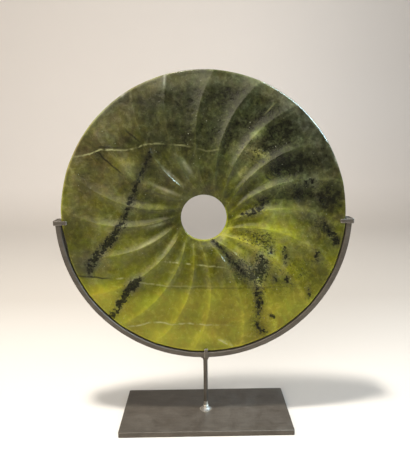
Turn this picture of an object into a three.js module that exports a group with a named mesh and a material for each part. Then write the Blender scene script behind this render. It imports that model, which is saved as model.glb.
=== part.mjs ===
// A carved jade bi disc standing in a welded steel display stand.
//
// The disc is a flat ring with a round hole. Its front is carved with a swirl of
// shallow flutes that meet in raised crests, and dips into a funnel at the hole.
// Its back is smooth. The stand is a plate with a thin round stem, a bar bent under
// the lower half of the disc, and three small clips that keep the disc on the bar.
//
// Millimetres, +Z up. The disc faces -Y. The origin is the centre of the plate's
// underside.

import * as THREE from 'three';

// ---- Driving dimensions -----------------------------------------------------------

const plateWidth = 190;
const plateDepth = 85;
const plateThickness = 6;
const plateCornerRadius = 1.5;

const discRadius = 150;
const holeRadius = 25;
const rimThickness = 14.8;
const discLift = 75; // clear height between the plate and the disc's lowest point

const funnelDepth = 9.8; // how far the front has sunk where it meets the hole
const funnelLength = 16; // the radial distance in which it has come back most of the way
const backDishDepth = 1.2;
const backDishLength = 20;
const lipRound = 1.2; // rounding of the rim's edges and of the hole's edges

const fluteDepth = 2.4;
const fluteSharpness = 2.4; // 2 is a round flute, more is a flatter floor and steeper sides
const fluteStart = 27; // radius at which the flutes begin to sink
const fluteFull = 52; // radius from which they have their full depth
const fluteFade = 85; // radius beyond which they grow shallower again
const fluteRimShare = 0.45; // of their depth, what is left at the rim

// The rim is a little flat at one place on the left.
const flatAngle = 190; // degrees from +X towards +Z
const flatHalfWidth = 6;
const flatDepth = 1.7;

// Every crest is part of a circle of this radius, whose centre is this far from the
// disc's axis.
const crestArcRadius = 128;
const crestArcOffset = 145;

// Where each crest crosses the middle of the carved band, in degrees from +X towards
// +Z. The carver spaced them by eye, about 18 degrees apart.
const crestAngles = [
  6, 24, 41, 59.5, 76.5, 95, 113, 128, 148.5, 169,
  185, 204, 223, 241, 258, 274, 295, 311, 329.5, 348.5,
];

const barThickness = 4.7; // radial
const barDepth = 14.8; // front to back
const barInnerRadius = 151.6;
const barShiftX = 0.1; // its bend isn't quite round the disc's own centre
const barShiftZ = -0.5;

const clipHeight = 5;
const clipThickness = 1.6;
const clipReach = 14.6; // from the outside of the web to the tips of the prongs
const bottomClipReach = 12.6;
const bottomClipShiftX = 0.8;
const leftClipTop = 0; // above the disc's centre
const rightClipTop = -1.2;

const stemRadius = 2.4;
const weldRadius = 6.6;
const weldHeight = 4.8;
const cradleWeldHeight = 3.4;

const gap = 0.3; // between pieces that touch
const edgeBevel = 0.5;
const clipBevel = 0.3;

// ---- Worked out from them ---------------------------------------------------------

const discZ = plateThickness + discLift + discRadius;
const barOuterRadius = barInnerRadius + barThickness;
const barBottomZ = discZ + barShiftZ - barOuterRadius;
const barLeftEnd = 180 - barEndAngle(leftClipTop);
const barRightEnd = 360 + barEndAngle(rightClipTop);
const clipGap = rimThickness + 2 * gap;
const stemTopZ = barBottomZ - gap - clipThickness - gap;
const crestCount = crestAngles.length;
const crestPitch = 360 / crestCount;
const midRadius = (discRadius + holeRadius) / 2;

// The angle, in degrees from level, at which the bar ends just under a clip's top.
function barEndAngle(clipTop) {
  const rise = clipTop - gap - barShiftZ;
  return THREE.MathUtils.radToDeg(Math.asin(rise / (barInnerRadius + barThickness / 2)));
}

// ---- Materials --------------------------------------------------------------------

const jade = new THREE.MeshStandardMaterial({ color: 0x6d6b34, roughness: 0.32, metalness: 0 });
const steel = new THREE.MeshStandardMaterial({ color: 0x6a5f52, roughness: 0.5, metalness: 0.9 });
const weldSteel = new THREE.MeshStandardMaterial({ color: 0x8a8176, roughness: 0.35, metalness: 0.95 });

function piece(name, geometry, material) {
  const mesh = new THREE.Mesh(geometry, material);
  mesh.name = name;
  return mesh;
}

// ---- The disc ---------------------------------------------------------------------

// The front face along a crest: level at the rim, falling away to the hole.
function crestY(r) {
  return -rimThickness / 2 + funnelDepth * Math.exp(-(r - holeRadius) / funnelLength);
}

function backY(r) {
  return rimThickness / 2 - backDishDepth * Math.exp(-(r - holeRadius) / backDishLength);
}

// The direction, in radians, of the point at radius r on a crest's circle.
function crestBend(r) {
  const c = crestArcOffset;
  return Math.acos((r * r + c * c - crestArcRadius ** 2) / (2 * r * c));
}

// How far across a flute is sunk: 0 on the two crests, 1 on the floor between them.
function fluteSection(across) {
  return 1 - Math.abs(2 * across - 1) ** fluteSharpness;
}

// How far the point at this radius and direction is drawn in by the flat on the rim.
function rimFlat(r, angle) {
  const away = (THREE.MathUtils.radToDeg(angle) - flatAngle) / flatHalfWidth;
  return flatDepth * Math.exp(-away * away) * THREE.MathUtils.smoothstep(r, discRadius - 20, discRadius);
}

// Half of the section through the disc, from the hole's front edge out over the front,
// up the rim, in over the back and down the hole's wall.
function discProfile(frontSteps, backSteps) {
  const points = [];
  const faceInner = holeRadius + lipRound;
  const faceOuter = discRadius - lipRound;
  const radiusAt = (t) => faceInner + (faceOuter - faceInner) * t ** 1.35;
  points.push(new THREE.Vector2(holeRadius, crestY(faceInner) + lipRound));
  for (let i = 0; i <= frontSteps; i++) {
    const r = radiusAt(i / frontSteps);
    points.push(new THREE.Vector2(r, crestY(r)));
  }
  points.push(new THREE.Vector2(discRadius, crestY(discRadius) + lipRound));
  points.push(new THREE.Vector2(discRadius, backY(discRadius) - lipRound));
  for (let i = backSteps; i >= 0; i--) {
    const r = radiusAt(i / backSteps);
    points.push(new THREE.Vector2(r, backY(r)));
  }
  points.push(new THREE.Vector2(holeRadius, backY(faceInner) - lipRound));
  points.push(points[0].clone());
  return points;
}

// A plain ring is turned first. Then each of its points is moved: round the axis, so
// that every sixth line of points follows a crest, and back, where it lies in a flute.
function carvedDisc() {
  const linesPerFlute = 6;
  const geometry = new THREE.LatheGeometry(discProfile(13, 7), linesPerFlute * crestCount);
  const position = geometry.attributes.position;
  for (let i = 0; i < position.count; i++) {
    const r = Math.hypot(position.getX(i), position.getZ(i));
    const y = position.getY(i);
    const turned = THREE.MathUtils.radToDeg(Math.atan2(position.getZ(i), position.getX(i)));
    const pitches = (turned + 360) / crestPitch % crestCount;
    const flute = Math.floor(pitches + 1e-4) % crestCount;
    const across = THREE.MathUtils.clamp(pitches - flute, 0, 1) % 1;
    const nextCrest = flute + 1 < crestCount ? crestAngles[flute + 1] : crestAngles[0] + 360;
    const angle = THREE.MathUtils.degToRad(THREE.MathUtils.lerp(crestAngles[flute], nextCrest, across))
      + crestBend(r) - crestBend(midRadius);

    const middleY = (crestY(r) + backY(r)) / 2;
    const onFront = y < middleY ? 1 : 0;
    const sink = onFront * fluteSection(across);
    const fade = 1 - (1 - fluteRimShare) * THREE.MathUtils.smoothstep(r, fluteFade, discRadius);
    const depth = fluteDepth * THREE.MathUtils.smoothstep(r, fluteStart, fluteFull) * fade;
    const carvedR = r - rimFlat(r, angle);
    position.setXYZ(i, carvedR * Math.cos(angle), y + sink * depth, carvedR * Math.sin(angle));
  }
  geometry.computeVertexNormals();
  return geometry;
}

// ---- The stand --------------------------------------------------------------------

// A flat outline given a thickness, with slightly broken edges, centred on its own
// mid plane.
function slab(outline, thickness, bevel, curveSegments) {
  const geometry = new THREE.ExtrudeGeometry(outline, {
    depth: thickness - 2 * bevel,
    bevelEnabled: true,
    bevelThickness: bevel,
    bevelSize: bevel,
    bevelOffset: -bevel,
    bevelSegments: 1,
    curveSegments,
  });
  geometry.translate(0, 0, bevel - thickness / 2);
  return geometry;
}

function basePlate() {
  const w = plateWidth / 2;
  const d = plateDepth / 2;
  const r = plateCornerRadius;
  const outline = new THREE.Shape();
  outline.absarc(w - r, d - r, r, 0, Math.PI / 2);
  outline.absarc(r - w, d - r, r, Math.PI / 2, Math.PI);
  outline.absarc(r - w, r - d, r, Math.PI, 1.5 * Math.PI);
  outline.absarc(w - r, r - d, r, 1.5 * Math.PI, 2 * Math.PI);
  const geometry = slab(outline, plateThickness, edgeBevel, 2);
  geometry.translate(0, 0, plateThickness / 2);
  return geometry;
}

// The bar's outline lies in the plane of the disc and is then given its depth.
function cradleArc() {
  const from = THREE.MathUtils.degToRad(barLeftEnd);
  const to = THREE.MathUtils.degToRad(barRightEnd);
  const outline = new THREE.Shape();
  outline.absarc(0, 0, barOuterRadius, from, to);
  outline.absarc(0, 0, barInnerRadius, to, from, true);
  const geometry = slab(outline, barDepth, edgeBevel, 30);
  geometry.rotateX(Math.PI / 2);
  geometry.translate(barShiftX, 0, discZ + barShiftZ);
  return geometry;
}

// A strip bent into a U. The web is at x = 0, and the prongs reach along +X on both
// sides of the rim. The outside corners of the bend are round.
function clip(reach) {
  const half = clipGap / 2 + clipThickness;
  const bend = clipThickness + 0.6;
  const outline = new THREE.Shape();
  outline.moveTo(reach, half);
  outline.lineTo(bend, half);
  outline.absarc(bend, half - bend, bend, Math.PI / 2, Math.PI);
  outline.absarc(bend, bend - half, bend, Math.PI, 1.5 * Math.PI);
  outline.lineTo(reach, -half);
  outline.lineTo(reach, clipThickness - half);
  outline.lineTo(clipThickness, clipThickness - half);
  outline.lineTo(clipThickness, half - clipThickness);
  outline.lineTo(reach, half - clipThickness);
  outline.closePath();
  return slab(outline, clipHeight, clipBevel, 2);
}

function leftClip() {
  const webX = barShiftX - barOuterRadius - gap - clipThickness;
  const geometry = clip(clipReach);
  geometry.translate(webX, 0, discZ + leftClipTop - clipHeight / 2);
  return geometry;
}

function rightClip() {
  const webX = barShiftX + barOuterRadius + gap + clipThickness;
  const geometry = clip(clipReach);
  geometry.rotateZ(Math.PI);
  geometry.translate(webX, 0, discZ + rightClipTop - clipHeight / 2);
  return geometry;
}

// This one passes under the bar, between it and the stem, with its prongs upward.
function bottomClip() {
  const geometry = clip(bottomClipReach);
  geometry.rotateY(-Math.PI / 2);
  geometry.translate(bottomClipShiftX, 0, barBottomZ - gap - clipThickness);
  return geometry;
}

function stem() {
  const bottom = plateThickness + gap;
  const geometry = new THREE.CylinderGeometry(stemRadius, stemRadius, stemTopZ - bottom, 20);
  geometry.rotateX(Math.PI / 2);
  geometry.translate(0, 0, (stemTopZ + bottom) / 2);
  return geometry;
}

// A bead of weld metal round the stem: a ring with a hollow flank, wide at z = 0 and
// narrow at z = height. Its foot is a little uneven.
function weldBead(radius, height, unevenness) {
  const inner = stemRadius + gap;
  const flankSteps = 4;
  const profile = [new THREE.Vector2(inner, 0), new THREE.Vector2(radius, 0)];
  for (let i = 0; i <= flankSteps; i++) {
    const rise = i / flankSteps;
    const flank = inner + 0.9 + (radius - inner - 0.9) * (1 - rise) ** 1.6;
    profile.push(new THREE.Vector2(flank, 0.8 + (height - 0.8) * rise));
  }
  profile.push(new THREE.Vector2(inner, height), profile[0].clone());
  const geometry = new THREE.LatheGeometry(profile, 24);
  const position = geometry.attributes.position;
  for (let i = 0; i < position.count; i++) {
    const x = position.getX(i);
    const z = position.getZ(i);
    const r = Math.hypot(x, z);
    const angle = Math.atan2(z, x);
    const lumps = Math.sin(3 * angle + 0.7) + 0.6 * Math.sin(5 * angle);
    const k = 1 + unevenness * lumps * (r - inner) / radius;
    position.setX(i, x * k);
    position.setZ(i, z * k);
  }
  geometry.computeVertexNormals();
  geometry.rotateX(Math.PI / 2);
  return geometry;
}

function footWeld() {
  const geometry = weldBead(weldRadius, weldHeight, 0.12);
  geometry.translate(0, 0, plateThickness + gap);
  return geometry;
}

function cradleWeld() {
  const geometry = weldBead(weldRadius, cradleWeldHeight, 0.05);
  geometry.rotateX(Math.PI);
  geometry.translate(0, 0, stemTopZ);
  return geometry;
}

// ---- The whole object -------------------------------------------------------------

const disc = piece('jade_disc', carvedDisc(), jade);
disc.position.z = discZ;

const stand = new THREE.Group();
stand.add(
  piece('base_plate', basePlate(), steel),
  piece('stem', stem(), steel),
  piece('foot_weld', footWeld(), weldSteel),
  piece('cradle_weld', cradleWeld(), weldSteel),
  piece('cradle_arc', cradleArc(), steel),
  piece('left_clip', leftClip(), steel),
  piece('right_clip', rightClip(), steel),
  piece('bottom_clip', bottomClip(), steel),
);

const biDisc = new THREE.Group();
biDisc.add(disc, stand);

export default biDisc;
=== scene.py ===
import math

import bpy
import numpy as np
from mathutils import Matrix, Vector


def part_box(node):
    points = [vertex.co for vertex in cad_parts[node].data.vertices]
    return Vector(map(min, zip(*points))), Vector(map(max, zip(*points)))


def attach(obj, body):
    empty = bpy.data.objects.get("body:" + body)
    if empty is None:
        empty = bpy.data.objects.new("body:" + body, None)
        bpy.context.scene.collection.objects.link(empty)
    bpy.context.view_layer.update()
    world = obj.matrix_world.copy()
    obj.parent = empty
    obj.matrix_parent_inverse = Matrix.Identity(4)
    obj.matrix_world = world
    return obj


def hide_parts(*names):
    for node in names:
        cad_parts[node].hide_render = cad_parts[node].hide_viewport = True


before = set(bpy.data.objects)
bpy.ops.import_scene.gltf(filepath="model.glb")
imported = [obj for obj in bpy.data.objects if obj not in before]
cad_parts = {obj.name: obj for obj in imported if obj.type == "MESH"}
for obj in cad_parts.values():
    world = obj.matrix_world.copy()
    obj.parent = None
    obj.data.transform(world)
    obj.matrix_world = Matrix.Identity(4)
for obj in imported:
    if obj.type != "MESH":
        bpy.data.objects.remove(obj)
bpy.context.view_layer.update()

# A carved jade bi disc in its welded steel stand. Every fine surface is worked out
# in millimetres round the disc's centre or the plate's underside and written into
# its mesh in metres. +X is to the right of the carved front, -Y is out of it.

MM = 0.001

# ---- Driving sizes, millimetres ----


def node_box(node):
    """The lowest and highest corner of a node of the frame, in millimetres."""
    low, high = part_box(node)
    return np.array(low) / MM, np.array(high) / MM


DISC_LOW, DISC_HIGH = node_box("jade_disc")
PLATE_LOW, PLATE_HIGH = node_box("base_plate")
STEM_LOW, STEM_HIGH = node_box("stem")
ARC_LOW, ARC_HIGH = node_box("cradle_arc")

# The disc, and the rounding of the edges at its hole and at its rim.
DISC_Z = (DISC_LOW[2] + DISC_HIGH[2]) / 2
DISC_R = (DISC_HIGH[2] - DISC_LOW[2]) / 2
RIM_HALF = (DISC_HIGH[1] - DISC_LOW[1]) / 2
HOLE_R = 24.5
LIP = 1.2
RIM_LIP = 2.0

# How far the front and the back sink towards the hole, and over what distance.
FUNNEL_DEPTH = 9.8
FUNNEL_LENGTH = 16.0
BACK_DISH_DEPTH = 1.2
BACK_DISH_LENGTH = 20.0

# The flutes begin at one radius, are deepest between the next two, and keep a share of
# their depth at the rim. A sharpness of 2 is a round flute, and more is a flatter floor.
FLUTE_DEPTH = 2.4
FLUTE_SHARPNESS = 2.4
FLUTE_START = 27.0
FLUTE_FULL = 52.0
FLUTE_FADE_START = 85.0
FLUTE_RIM_SHARE = 0.45
LINES_PER_FLUTE = 36

# Each crest is an arc of the same circle, turned so that it is at its own angle, in
# degrees from +X towards +Z, where its radius is MID_R.
CREST_ARC_R = 128.0
CREST_ARC_OFFSET = 145.0
CREST_ANGLES = (
    6, 24, 41, 59.5, 76.5, 95, 113, 128, 148.5, 169,
    185, 204, 223, 241, 258, 274, 295, 311, 329.5, 348.5,
)
MID_R = (DISC_R + HOLE_R) / 2

# The small flat worn into the rim, and the mean depth of the hand finish.
FLAT_ANGLE = 190.0
FLAT_HALF_WIDTH = 6.0
FLAT_DEPTH = 1.7
FLAT_REACH = 20.0
HAND_FINISH = 0.10

# The bent bar, which stops that gap below the tops of the side clips. The tops are
# given over the disc's centre.
BAR_THICKNESS = 5.5
BAR_CORNER = 0.6
BAR_SHIFT_X = 0.1
BAR_SHIFT_Z = -0.5
BAR_CLIP_GAP = 0.3
LEFT_CLIP_TOP = 0.0
RIGHT_CLIP_TOP = -1.2

# The clips' strip, the radius inside its bends, and how its prongs grow narrower.
CLIP_THICKNESS = 1.6
CLIP_CORNER = 0.4
CLIP_INSIDE_BEND = 0.35
PRONG_TAPER = 0.5
TAPERED_TIP = 4.0

# The foot plate's corners, and how far the edges at the ends of the plate and the bar,
# and of the rod, are broken.
PLATE_CORNER = 1.5
EDGE_BREAK = 0.5
ROD_BREAK = 0.3

# The rod, and the length of it over the plate that is ground bare and painted pale, as lit.
STEM_R = (STEM_HIGH[0] - STEM_LOW[0]) / 2
BARE_LENGTH = 10.0

# The weld beads: how far they stay off the rod and inside their node's box, the metal
# left at a bead's top, how hollow its flank is, and the waves in its width as shares
# of it.
WELD_OFF_ROD = 0.05
WELD_ROOM = 0.3
WELD_TOP = 0.7
WELD_HOLLOW = 2.6
WELD_LONG_WAVE = 0.10
WELD_SHORT_WAVE = 0.07
WELD_RIPPLE = 0.10

# The tones that the stone's colour runs between, and the radius at which its grain
# follows the flutes.
DARKEST, PALEST = 25.0, 160.0
GRAIN_R = 60.0

# About how strongly the studio's lamps and sky light the disc's face, and the sheen on it.
STUDIO_LIGHT = np.array([1.46, 1.39, 1.28])
SHEEN = 0.020


# ---- Surfaces as grids of points ----


def in_scene(name, data):
    """A new object of the scene with that data."""
    thing = bpy.data.objects.new(name, data)
    bpy.context.scene.collection.objects.link(thing)
    return thing


def smoothstep(x, low, high):
    """0 below low, 1 above high, and an easy S curve between."""
    t = np.clip((x - low) / (high - low), 0.0, 1.0)
    return t * t * (3.0 - 2.0 * t)


def grid_piece(name, points, replaces, round_both=False, attributes=()):
    """A piece from a grid of points (rows, columns, 3) in millimetres.

    Columns always close on themselves. Rows close too if round_both, and otherwise
    the first and the last row are each filled with one flat face. The faces are turned
    outwards if the volume they enclose comes out below 0.
    """
    rows, columns = points.shape[:2]
    index = np.arange(rows * columns).reshape(rows, columns)
    here = index if round_both else index[:-1]
    above = np.roll(index, -1, axis=0)
    above = above if round_both else above[:-1]
    quads = np.stack(
        [here, np.roll(here, -1, axis=1), np.roll(above, -1, axis=1), above], axis=-1
    ).reshape(-1, 4)
    faces = quads.tolist()
    if not round_both:
        faces.append(index[0, ::-1].tolist())
        faces.append(index[-1].tolist())
    mesh = bpy.data.meshes.new(name)
    mesh.from_pydata((points.reshape(-1, 3) * MM).tolist(), [], faces)
    corner = points.reshape(-1, 3)[quads]
    first = np.cross(corner[:, 1] - corner[:, 0], corner[:, 2] - corner[:, 0])
    second = np.cross(corner[:, 2] - corner[:, 0], corner[:, 3] - corner[:, 0])
    middle = points.reshape(-1, 3).mean(axis=0)
    volume = np.sum((corner[:, 0] - middle) * (first + second))
    if volume < 0:
        mesh.flip_normals()
    mesh.polygons.foreach_set("use_smooth", np.ones(len(mesh.polygons), dtype=bool))
    for attribute, values in attributes:
        layer = mesh.attributes.new(attribute, "FLOAT", "POINT")
        layer.data.foreach_set("value", values.astype(np.float32).ravel())
    mesh.update()
    piece = in_scene(name, mesh)
    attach(piece, "root")
    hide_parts(*replaces)
    return piece


def rounded_rectangle(half_a, half_b, corner, steps=4, support=0.3):
    """The outline of a rectangle with round corners, counterclockwise, (points, 2).

    Each corner is a quarter circle of that radius. A support point on either side
    of it keeps the flat sides flat when the surface is shaded smooth.
    """
    turn = np.linspace(0.0, math.pi / 2, steps + 1)
    outline = []
    for quarter, (sign_a, sign_b) in enumerate(((1, 1), (-1, 1), (-1, -1), (1, -1))):
        angle = turn + quarter * math.pi / 2
        centre = np.array([sign_a * (half_a - corner), sign_b * (half_b - corner)])
        arc = centre + corner * np.stack([np.cos(angle), np.sin(angle)], axis=-1)
        before = arc[0] + support * np.array([math.sin(angle[0]), -math.cos(angle[0])])
        after = arc[-1] + support * np.array([-math.sin(angle[-1]), math.cos(angle[-1])])
        outline.append(np.vstack([before, arc, after]))
    return np.vstack(outline)


def end_rounding(distance, bevel):
    """How far a section is drawn in at that distance from a bar's end: a quarter circle."""
    short = np.clip(bevel - distance, 0.0, bevel)
    return bevel - np.sqrt(bevel * bevel - short * short)


def stations(length, bevel, step, support=0.3):
    """Distances along a bar, and how far its section is drawn in at each of them.

    They are close together in the rounded ends, and about a step apart between.
    """
    ends = np.append(bevel * (1.0 - np.cos(np.linspace(0.0, math.pi / 2, 5))), bevel + support)
    inner = np.linspace(ends[-1], length - ends[-1], max(2, int(length / step)))
    along = np.concatenate([ends[:-1], inner, length - ends[-2::-1]])
    return along, end_rounding(np.minimum(along, length - along), bevel)


def loft(centres, across, upward, sections):
    """Sections (rows, points, 2) set on a path, in two directions that may change along it."""
    return (
        centres[:, None]
        + sections[..., :1] * np.atleast_2d(across)[:, None]
        + sections[..., 1:] * np.atleast_2d(upward)[:, None]
    )


# ---- The stone's colouring ----
#
# Places are millimetres to the right of the disc's centre and above it. The same
# fields colour front, rim and back, so a vein goes through the stone.

# Soft clouds in the stone, and some painted glints and sheen: x, z, half length, half
# width, tilt of its length in degrees, and how much paler (or, below 0, darker) its middle is.
CLOUDS_AND_PAINTED_GLINTS = (
    (-100, 98, 30, 18, 45, 38),
    (-52, 134, 22, 8, 20, 40),
    (-75, 100, 15, 15, 0, 22),
    (-78, 60, 12, 10, 0, 45),
    (-104, 38, 40, 30, 90, 16),
    (-122, 40, 22, 12, 90, -14),
    (-110, 68, 16, 12, 0, -12),
    (-100, -5, 12, 10, 0, 12),
    (-134, -10, 24, 10, 90, -14),
    (-98, -102, 14, 12, 0, 16),
    (-56, -22, 16, 12, 0, -14),
    (-66, -76, 14, 9, 0, -14),
    (-128, -48, 14, 12, 90, -25),
    (-72, -24, 18, 9, 20, 22),
    (-112, -80, 18, 16, -50, 38),
    (-30, -90, 75, 14, 0, 18),
    (-45, -130, 26, 10, -15, 22),
    (0, -132, 20, 8, 0, 22),
    (44, -56, 24, 13, -35, -12),
    (6, -66, 44, 14, 0, -12),
    (77, -38, 16, 11, 80, 24),
    (110, -3, 18, 10, -10, -20),
    (134, 32, 18, 10, 90, -20),
    (56, 72, 16, 10, 0, -14),
    (88, 60, 16, 8, 0, -14),
    (127, -58, 13, 13, 0, -14),
    (60, -92, 16, 5, 85, -24),
    (60, -122, 8, 8, 0, -18),
    (90, -98, 18, 14, 30, 25),
    (84, -10, 24, 15, -15, 45),
    (60, -20, 25, 18, 0, 18),
    (72, 5, 18, 8, 0, 18),
    (36, -24, 15, 12, 0, 25),
    (105, 24, 30, 8, 0, -21),
    (132, 10, 14, 12, 0, -22),
    (46, 68, 20, 14, 60, 25),
    (60, 42, 18, 7, -40, 24),
    (100, 54, 24, 12, 10, -21),
    (90, 88, 20, 16, -45, -12),
    (98, 104, 26, 10, -46, 26),
    (-36, -2, 14, 9, 90, -20),
    (-24, 55, 20, 12, -50, 18),
    (22, 121, 42, 10, 0, 12),
    (-28, 134, 12, 8, 15, 14),
    (-120, 60, 12, 10, 0, 18),
    (-97, 44, 13, 10, 0, 13),
    (-105, -12, 12, 9, 0, 20),
    (-90, -46, 9, 9, 0, 14),
    (16, -78, 11, 10, 0, 20),
    (90, -30, 10, 8, 0, 16),
    (97, 86, 15, 10, -35, 10),
    (36, -137, 16, 7, 10, -16),
    (106, -75, 10, 9, 0, -13),
    (30, -14, 8, 6, 0, -16),
    (0, 60, 10, 9, 0, 14),
    # Painted sheen along the top of the rim.
    (10, 142, 55, 8, 0, 44),
    (66, 129, 30, 8, -28, 44),
    (-45, 108, 24, 14, 0, 20),
    (5, 104, 26, 8, 0, 16),
    # Painted glints on the rim and on a crest's end beside it.
    (-49, 143, 10, 2.5, 17, 60),
    (-37.5, 141, 8, 1.0, 84, 70),
    (-79.5, 127, 3.0, 1.8, 60, 70),
    # Painted blue-white glints on the rim at the upper right.
    (113, 98, 7, 1.8, -49, 90),
    (137, 60, 5, 1.6, -66, 80),
    (55, 86, 9, 5, 40, 66),
    (55, 68, 15, 4.5, -24, 74),
    (38, 47, 13, 3.5, 50, 56),
    (30, 72, 9, 3, 60, 30),
    (44, 78, 8, 5, 30, -22),
    (74, 62, 12, 7, 20, -14),
    (50, 52, 9, 4, 40, -16),
    # Painted glints along crests near the hole.
    (-40, 31, 20, 2.2, -23.5, 62),
    (-50, 14, 24, 2.4, -4, 26),
    (-139, 36, 34, 8, 75, 28),
    (24, -16, 12, 4, 55, 60),
    # Painted glints along crests near the hole.
    (-17, 54, 13, 3, -56, 52),
    (-32, 45, 16, 2.0, -42, 40),
    (-48, -6, 10, 1.6, 12, 40),
    (-60, -26, 13, 1.6, 28, 34),
    (-33, -22, 14, 1.6, 56, 36),
    # A painted streak of reflection near the bottom.
    (22, -140, 10, 2.8, -28, 40),
    (36, -68, 14, 8, -20, -10),
    (60, -68, 5, 7, 0, 26),
    (58, -36, 28, 4, -32, 30),
    (34, -32, 18, 3, -42, 30),
    # Painted sheen along the top of the rim.
    (15, 136, 60, 6, 0, 14),
    (8, -32, 14, 14, 0, -10),
    (-130, 18, 16, 12, 90, 18),
    (40, 8, 12, 8, 0, 14),
)

# Where the stone is greyer, and where glints and sheen are painted grey: as above, with the share of grey
# that is added.
GREY_ZONES_AND_SHEEN = (
    # Painted sheen at the upper right of the rim.
    (100, 105, 50, 12, -45, 0.25),
    (-125, -45, 18, 16, 0, 0.40),
    (44, -56, 26, 15, -35, 0.50),
    (6, -64, 44, 16, 0, 0.16),
    (62, -52, 12, 8, 80, 0.30),
    (84, -14, 28, 14, 0, -0.12),
    (112, 50, 40, 90, 0, 0.22),
    (-60, -60, 60, 24, 0, 0.06),
    (36, 2, 26, 30, 0, -0.30),
    (-60, 70, 70, 40, 0, -0.10),
    (-90, -12, 60, 7, 54, 0.18),
    (-77, -70, 10, 8, 50, 0.30),
    # Painted glints along crests near the hole, greyed.
    (-40, 31, 20, 2.6, -23.5, 0.50),
    (-17, 54, 13, 3.4, -56, 0.55),
    (-32, 45, 16, 2.4, -42, 0.50),
    (-48, -6, 10, 2.0, 12, 0.40),
    (-60, -26, 13, 2.0, 28, 0.30),
    (-33, -22, 14, 2.0, 56, 0.30),
    # Painted glints on the rim, greyed.
    (-37.5, 141, 8, 1.6, 84, 0.60),
    (-79.5, 127, 3.0, 2.2, 60, 0.50),
    (113, 98, 8, 2.2, -49, 0.90),
    (137, 60, 6, 2.0, -66, 0.90),
    (-130, 18, 16, 14, 90, 0.16),
    (-120, -62, 26, 14, 0, 0.12),
    (80, 10, 24, 14, 0, -0.14),
)

# Where it is greener than yellow (or, below 0, warmer), as above.
GREEN_ZONES = (
    (-120, 60, 60, 40, 60, -5.0),
    (95, 35, 34, 24, 0, 4.5),
    (0, -125, 150, 45, 0, -4.5),
    (-112, -84, 18, 16, 0, -5.0),
    (30, 108, 70, 40, 0, 3.6),
    (70, 70, 60, 50, 0, 3.0),
    (52, 72, 22, 16, 0, -5.0),
    (-90, 120, 60, 30, 40, -1.5),
)

# Black veins: x, z and the width there.
BLACK_VEINS = (
    (
        (-54, 69, 0.6), (-57, 62, 1.2), (-63.5, 48.5, 1.8), (-68.5, 38.5, 1.6), (-72, 30, 2.4),
        (-74, 23.5, 3.6), (-79.5, 12, 2.0), (-82, 4, 2.6), (-85, -3, 3.6), (-89.5, -9, 4.6),
        (-93.5, -15, 4.8), (-97, -20, 5.8), (-102, -25.5, 5.8), (-107, -29, 4.6),
        (-113.5, -36.5, 5.4), (-117.5, -43, 6.0), (-121, -50, 5.4), (-124, -58, 2.6),
    ),
    ((-70, -64, 4.0), (-75.5, -69, 9.6), (-82, -76, 8.0), (-86, -82, 5.0)),
    ((-87, -84, 4.0), (-89, -88, 7.0), (-93.5, -93, 5.0), (-97.5, -101, 5.0), (-101, -106.5, 4.6)),
    ((41, 4.5, 0.6), (48, 4.5, 2.6), (54, 7, 4.6), (58.5, 10, 4.8), (62, 14.5, 2.4)),
    ((61, 18.5, 2.0), (64, 19.0, 3.0), (67, 17.7, 1.6)),
    ((100, 29, 2.4), (100, 20, 3.4)),
    ((108, 38.5, 2.2), (114, 38.0, 2.6)),
    ((121, 21, 2.2), (126.5, 15, 2.8)),
    ((127, -7, 1.6), (132, -13, 3.2), (137, -18.5, 3.6), (140, -23, 3.8), (142, -27, 3.2)),
    ((121.5, -38, 2.6), (122.5, -45, 3.2)),
    ((86.5, -34, 2.0), (87, -50, 1.4)),
    ((72, -33.5, 2.2), (72, -37.5, 2.2)),
    ((113.5, -80, 2.4), (113.5, -87, 3.0)),
    ((76.5, -66, 2.6), (77, -67, 2.6)),
    ((89.5, -66, 2.0), (90.5, -70, 2.2)),
    ((72, -109.5, 1.2), (77, -110, 0.8)),
    ((56.5, -80, 1.6), (57.5, -88, 1.8), (60, -95.5, 2.8), (59, -103, 1.0)),
    ((56, -116, 2.2), (58, -121, 1.6), (62, -126, 3.2), (66.5, -129, 2.0)),
    ((27, -43, 0.6), (31, -50, 1.4), (36, -53, 1.0), (42, -60, 0.6)),
    ((60, -40, 0.4), (64, -47, 1.2), (67, -52, 0.8)),
    ((76, 50, 4.0), (79, 56, 2.6)),
    ((10, -25.5, 0.8), (20, -35, 1.4), (27, -43.5, 2.2)),
)

# Zones sprinkled with dark specks: as the clouds, with how thickly they lie.
SPECKLED = (
    (38, -52, 22, 13, -35, 0.74),
    (62, -50, 17, 10, 80, 0.70),
    (48, -64, 16, 8, 0, 0.45),
    (52, 66, 24, 16, 0, 0.45),
    (59, -98, 34, 7, 85, 0.85),
    (56, -23, 25, 12, -10, 0.85),
    (78, 52, 12, 10, 40, 0.8),
    (96, 32, 30, 12, 0, 0.55),
    (130, -14, 20, 8, -45, 0.8),
    (70, 72, 16, 16, 0, 0.4),
    (100, -62, 38, 26, 0, 0.42),
    (55, 10, 20, 7, 25, 0.7),
    (-90, -12, 70, 8, 54, 0.5),
    (-88, -86, 26, 8, 56, 0.5),
    (40, 100, 60, 40, 0, 0.25),
)
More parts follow.
